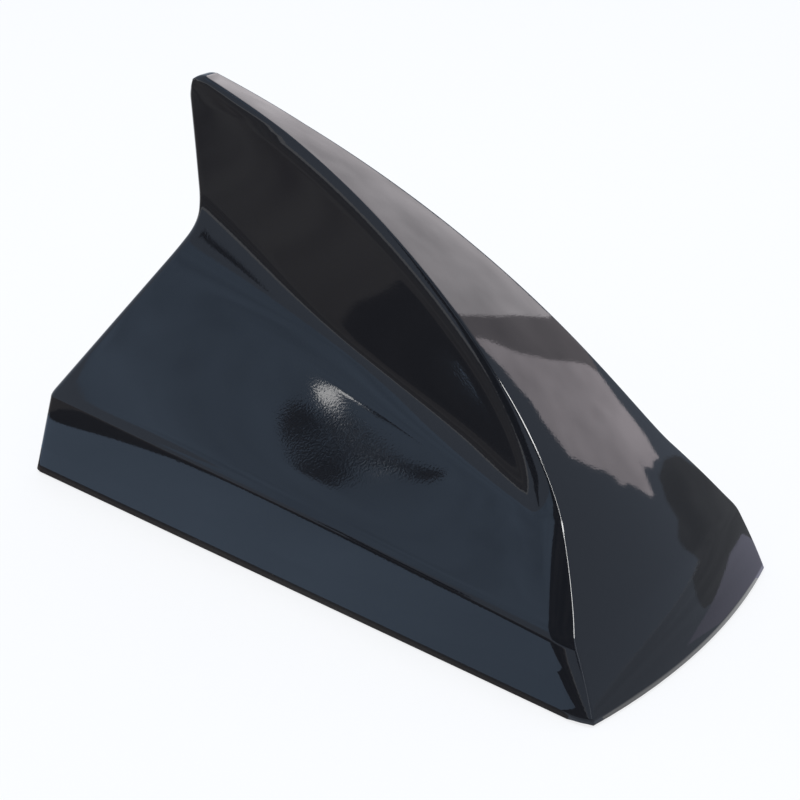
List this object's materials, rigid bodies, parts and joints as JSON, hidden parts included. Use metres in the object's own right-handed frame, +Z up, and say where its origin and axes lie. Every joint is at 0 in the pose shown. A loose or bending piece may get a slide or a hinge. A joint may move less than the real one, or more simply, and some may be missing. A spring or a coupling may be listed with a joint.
{
  "type": "shark fin aerial",
  "caption": "Roof aerial for a car: a hollow gloss black fin on a flared skirt, with a die-cast base, rubber seal, circuit boards and a threaded fixing inside.",
  "frame": {"origin": "middle of the footprint, on the roof's surface", "axes": "+X forward along the car to the nose, +Y across to the car's left, +Z up from the roof"},
  "size_m": [0.1454, 0.0638, 0.0847],
  "materials": {
    "gloss_paint": "gloss black lacquer on moulded plastic",
    "cast_alloy": "as die-cast, lightly blasted",
    "seal_rubber": "moulded rubber",
    "pad_foam": "closed-cell foam tape",
    "brass": "turned",
    "spring_steel": "stamped, tin plated",
    "grommet_rubber": "moulded rubber",
    "vent_plastic": "moulded",
    "zinc_steel": "zinc plated",
    "circuit_board": "green solder mask over glass laminate",
    "tin_plate": "bright tin plate",
    "chip_resin": "moulded epoxy",
    "socket_plastic": "moulded",
    "white_tape": "acrylic foam tape",
    "patch_ceramic": "fired, fine ground",
    "silvered": "silver plated",
    "fork_brass": "tin-flashed sheet",
    "block_foam": "open-cell foam",
    "bobbin_plastic": "moulded",
    "enamelled_copper": "enamelled wire"
  },
  "bodies": {
    "root": {"cover": "gloss_paint", "base_plate": "cast_alloy", "perimeter_seal": "seal_rubber", "roof_pad": "pad_foam", "threaded_insert": "brass", "earth_ring": "spring_steel", "cable_grommet": "grommet_rubber", "vent_plug": "vent_plastic", "cover_screws": "zinc_steel", "main_board": "circuit_board", "board_screws": "zinc_steel", "shield_can": "tin_plate", "board_chips": "chip_resin", "cable_sockets": "socket_plastic", "patch_tape": "white_tape", "patch_ceramic": "patch_ceramic", "patch_pin": "silvered", "fin_board": "circuit_board", "fin_board_clips": "fork_brass", "fin_board_foam": "block_foam", "coil_former": "bobbin_plastic", "coil_winding": "enamelled_copper", "rear_cell_element": "tin_plate", "side_cell_element": "tin_plate"}
  },
  "joints": []
}
